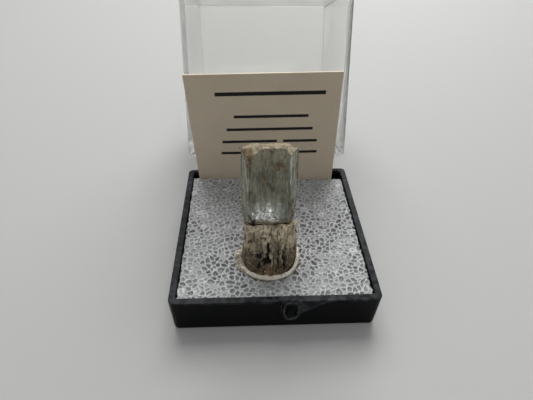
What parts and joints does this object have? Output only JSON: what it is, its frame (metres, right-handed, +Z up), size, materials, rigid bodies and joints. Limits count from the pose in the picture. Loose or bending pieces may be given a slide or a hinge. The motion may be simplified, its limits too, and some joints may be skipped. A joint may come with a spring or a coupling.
{
  "type": "aquamarine crystal in a hinged specimen box",
  "caption": "Clear green-grey beryl prism on a brown rocky root, set in putty on bead foam in a small hinged box, its clear lid standing open behind a plain card.",
  "frame": {"origin": "middle of the tray's flat underside, on the surface that the box stands on", "axes": "+Z up, -Y towards the catch at the front, +Y towards the hinge and the open lid, +X to the viewer's right"},
  "size_m": [0.0318, 0.0688, 0.0383],
  "materials": {
    "black_plastic": "satin",
    "clear_plastic": "gloss",
    "bead_foam": "matte",
    "beige_card": "matte",
    "putty": "matte",
    "root_rock": "matte",
    "beryl": "gloss"
  },
  "bodies": {
    "base": {"base_tray": "black_plastic", "foam_insert": "bead_foam", "label_card": "beige_card", "mounting_putty": "putty", "matrix_root": "root_rock", "aquamarine_crystal": "beryl"},
    "lid": {"lid": "clear_plastic"}
  },
  "joints": [
    {"name": "lid_hinge", "type": "hinge", "parent": "base", "child": "lid", "pos_m": [0, 0.01738, 0.00741], "axis": [1, 0, 0], "range_deg": [0, 112.4]}
  ]
}
